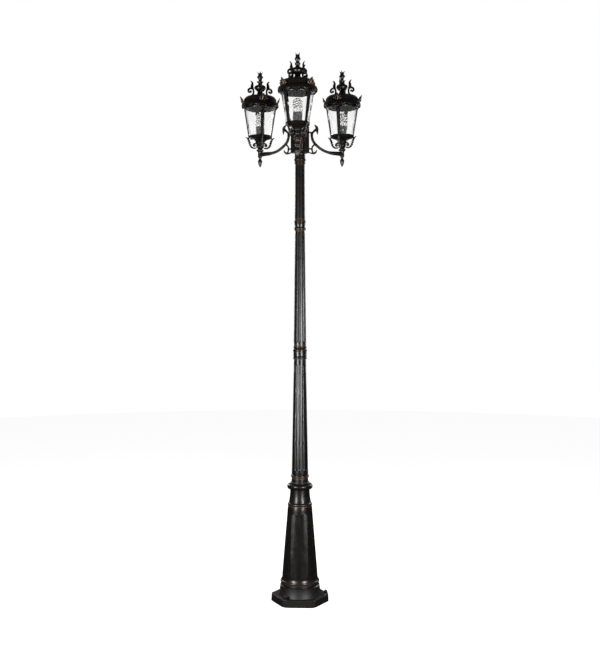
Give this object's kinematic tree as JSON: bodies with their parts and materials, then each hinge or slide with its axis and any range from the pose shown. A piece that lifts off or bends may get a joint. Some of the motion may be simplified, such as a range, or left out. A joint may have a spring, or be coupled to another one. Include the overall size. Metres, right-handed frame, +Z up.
{
  "type": "triple head lamp post",
  "caption": "Classical outdoor lamp post: fluted tapered column on a hexagonal base, scrolled arms and caged glass lanterns with domed, finial-topped roofs.",
  "frame": {"origin": "centre of the anchor circle, on the post's axis and on the face that stands on the ground", "axes": "+Z up along the post; one lantern stands towards -Y, the other two behind at 30 and 150 degrees from +X"},
  "size_m": [0.6486, 0.5856, 2.8036],
  "materials": {
    "bronze_powder_coat": "near-black satin powder coat on cast aluminium, rubbed antique bronze on raised edges",
    "zinc_steel": "zinc-plated steel",
    "black_steel": "black-coated steel fasteners",
    "clear_glass": "clear pressed glass with a water-rippled surface",
    "holder_plastic": "dark grey phenolic plastic",
    "bulb_white": "white plastic ballast and phosphor-coated tube",
    "terminal_plastic": "natural polyamide"
  },
  "bodies": {
    "root": {"anchor_nuts": "black_steel", "anchor_washers": "zinc_steel", "arm_bolts": "black_steel", "base_casting": "bronze_powder_coat", "base_collar": "bronze_powder_coat", "base_joint_tube": "zinc_steel", "earth_terminal": "zinc_steel", "front_acorn_finial": "bronze_powder_coat", "front_arm": "bronze_powder_coat", "front_cage": "bronze_powder_coat", "front_gallery": "bronze_powder_coat", "front_glass": "clear_glass", "front_lampholder": "holder_plastic", "front_lower_scrolls": "bronze_powder_coat", "front_nipple": "zinc_steel", "grub_screws": "black_steel", "head_collar": "bronze_powder_coat", "junction_box": "bronze_powder_coat", "junction_lid": "bronze_powder_coat", "left_acorn_finial": "bronze_powder_coat", "left_arm": "bronze_powder_coat", "left_cage": "bronze_powder_coat", "left_gallery": "bronze_powder_coat", "left_glass": "clear_glass", "left_lampholder": "holder_plastic", "left_lower_scrolls": "bronze_powder_coat", "left_nipple": "zinc_steel", "lid_screws": "black_steel", "lower_coupling": "bronze_powder_coat", "lower_joint_tube": "zinc_steel", "lower_shaft": "bronze_powder_coat", "middle_shaft": "bronze_powder_coat", "right_acorn_finial": "bronze_powder_coat", "right_arm": "bronze_powder_coat", "right_cage": "bronze_powder_coat", "right_gallery": "bronze_powder_coat", "right_glass": "clear_glass", "right_lampholder": "holder_plastic", "right_lower_scrolls": "bronze_powder_coat", "right_nipple": "zinc_steel", "terminal_block": "terminal_plastic", "upper_coupling": "bronze_powder_coat", "upper_joint_tube": "zinc_steel", "upper_shaft": "bronze_powder_coat"},
    "front_roof_body": {"front_roof": "bronze_powder_coat", "front_rim_leaves": "bronze_powder_coat", "front_crown_scrolls": "bronze_powder_coat"},
    "front_finial_body": {"front_finial": "bronze_powder_coat"},
    "front_bulb_body": {"front_bulb": "bulb_white"},
    "right_roof_body": {"right_roof": "bronze_powder_coat", "right_rim_leaves": "bronze_powder_coat", "right_crown_scrolls": "bronze_powder_coat"},
    "right_finial_body": {"right_finial": "bronze_powder_coat"},
    "right_bulb_body": {"right_bulb": "bulb_white"},
    "left_roof_body": {"left_roof": "bronze_powder_coat", "left_rim_leaves": "bronze_powder_coat", "left_crown_scrolls": "bronze_powder_coat"},
    "left_finial_body": {"left_finial": "bronze_powder_coat"},
    "left_bulb_body": {"left_bulb": "bulb_white"}
  },
  "joints": [
    {"name": "front_roof_lift", "type": "slide", "parent": "root", "child": "front_roof_body", "axis": [0, 0, 1], "range_m": [0, 0.2]},
    {"name": "front_finial_unscrew", "type": "hinge", "parent": "front_roof_body", "child": "front_finial_body", "pos_m": [0, -0.255, 2.74], "axis": [0, 0, 1], "continuous": true},
    {"name": "front_bulb_unscrew", "type": "hinge", "parent": "root", "child": "front_bulb_body", "pos_m": [0, -0.255, 2.5], "axis": [0, 0, 1], "continuous": true},
    {"name": "right_roof_lift", "type": "slide", "parent": "root", "child": "right_roof_body", "axis": [0, 0, 1], "range_m": [0, 0.2]},
    {"name": "right_finial_unscrew", "type": "hinge", "parent": "right_roof_body", "child": "right_finial_body", "pos_m": [0.22084, 0.1275, 2.74], "axis": [0, 0, 1], "continuous": true},
    {"name": "right_bulb_unscrew", "type": "hinge", "parent": "root", "child": "right_bulb_body", "pos_m": [0.22084, 0.1275, 2.5], "axis": [0, 0, 1], "continuous": true},
    {"name": "left_roof_lift", "type": "slide", "parent": "root", "child": "left_roof_body", "axis": [0, 0, 1], "range_m": [0, 0.2]},
    {"name": "left_finial_unscrew", "type": "hinge", "parent": "left_roof_body", "child": "left_finial_body", "pos_m": [-0.22084, 0.1275, 2.74], "axis": [0, 0, 1], "continuous": true},
    {"name": "left_bulb_unscrew", "type": "hinge", "parent": "root", "child": "left_bulb_body", "pos_m": [-0.22084, 0.1275, 2.5], "axis": [0, 0, 1], "continuous": true}
  ]
}
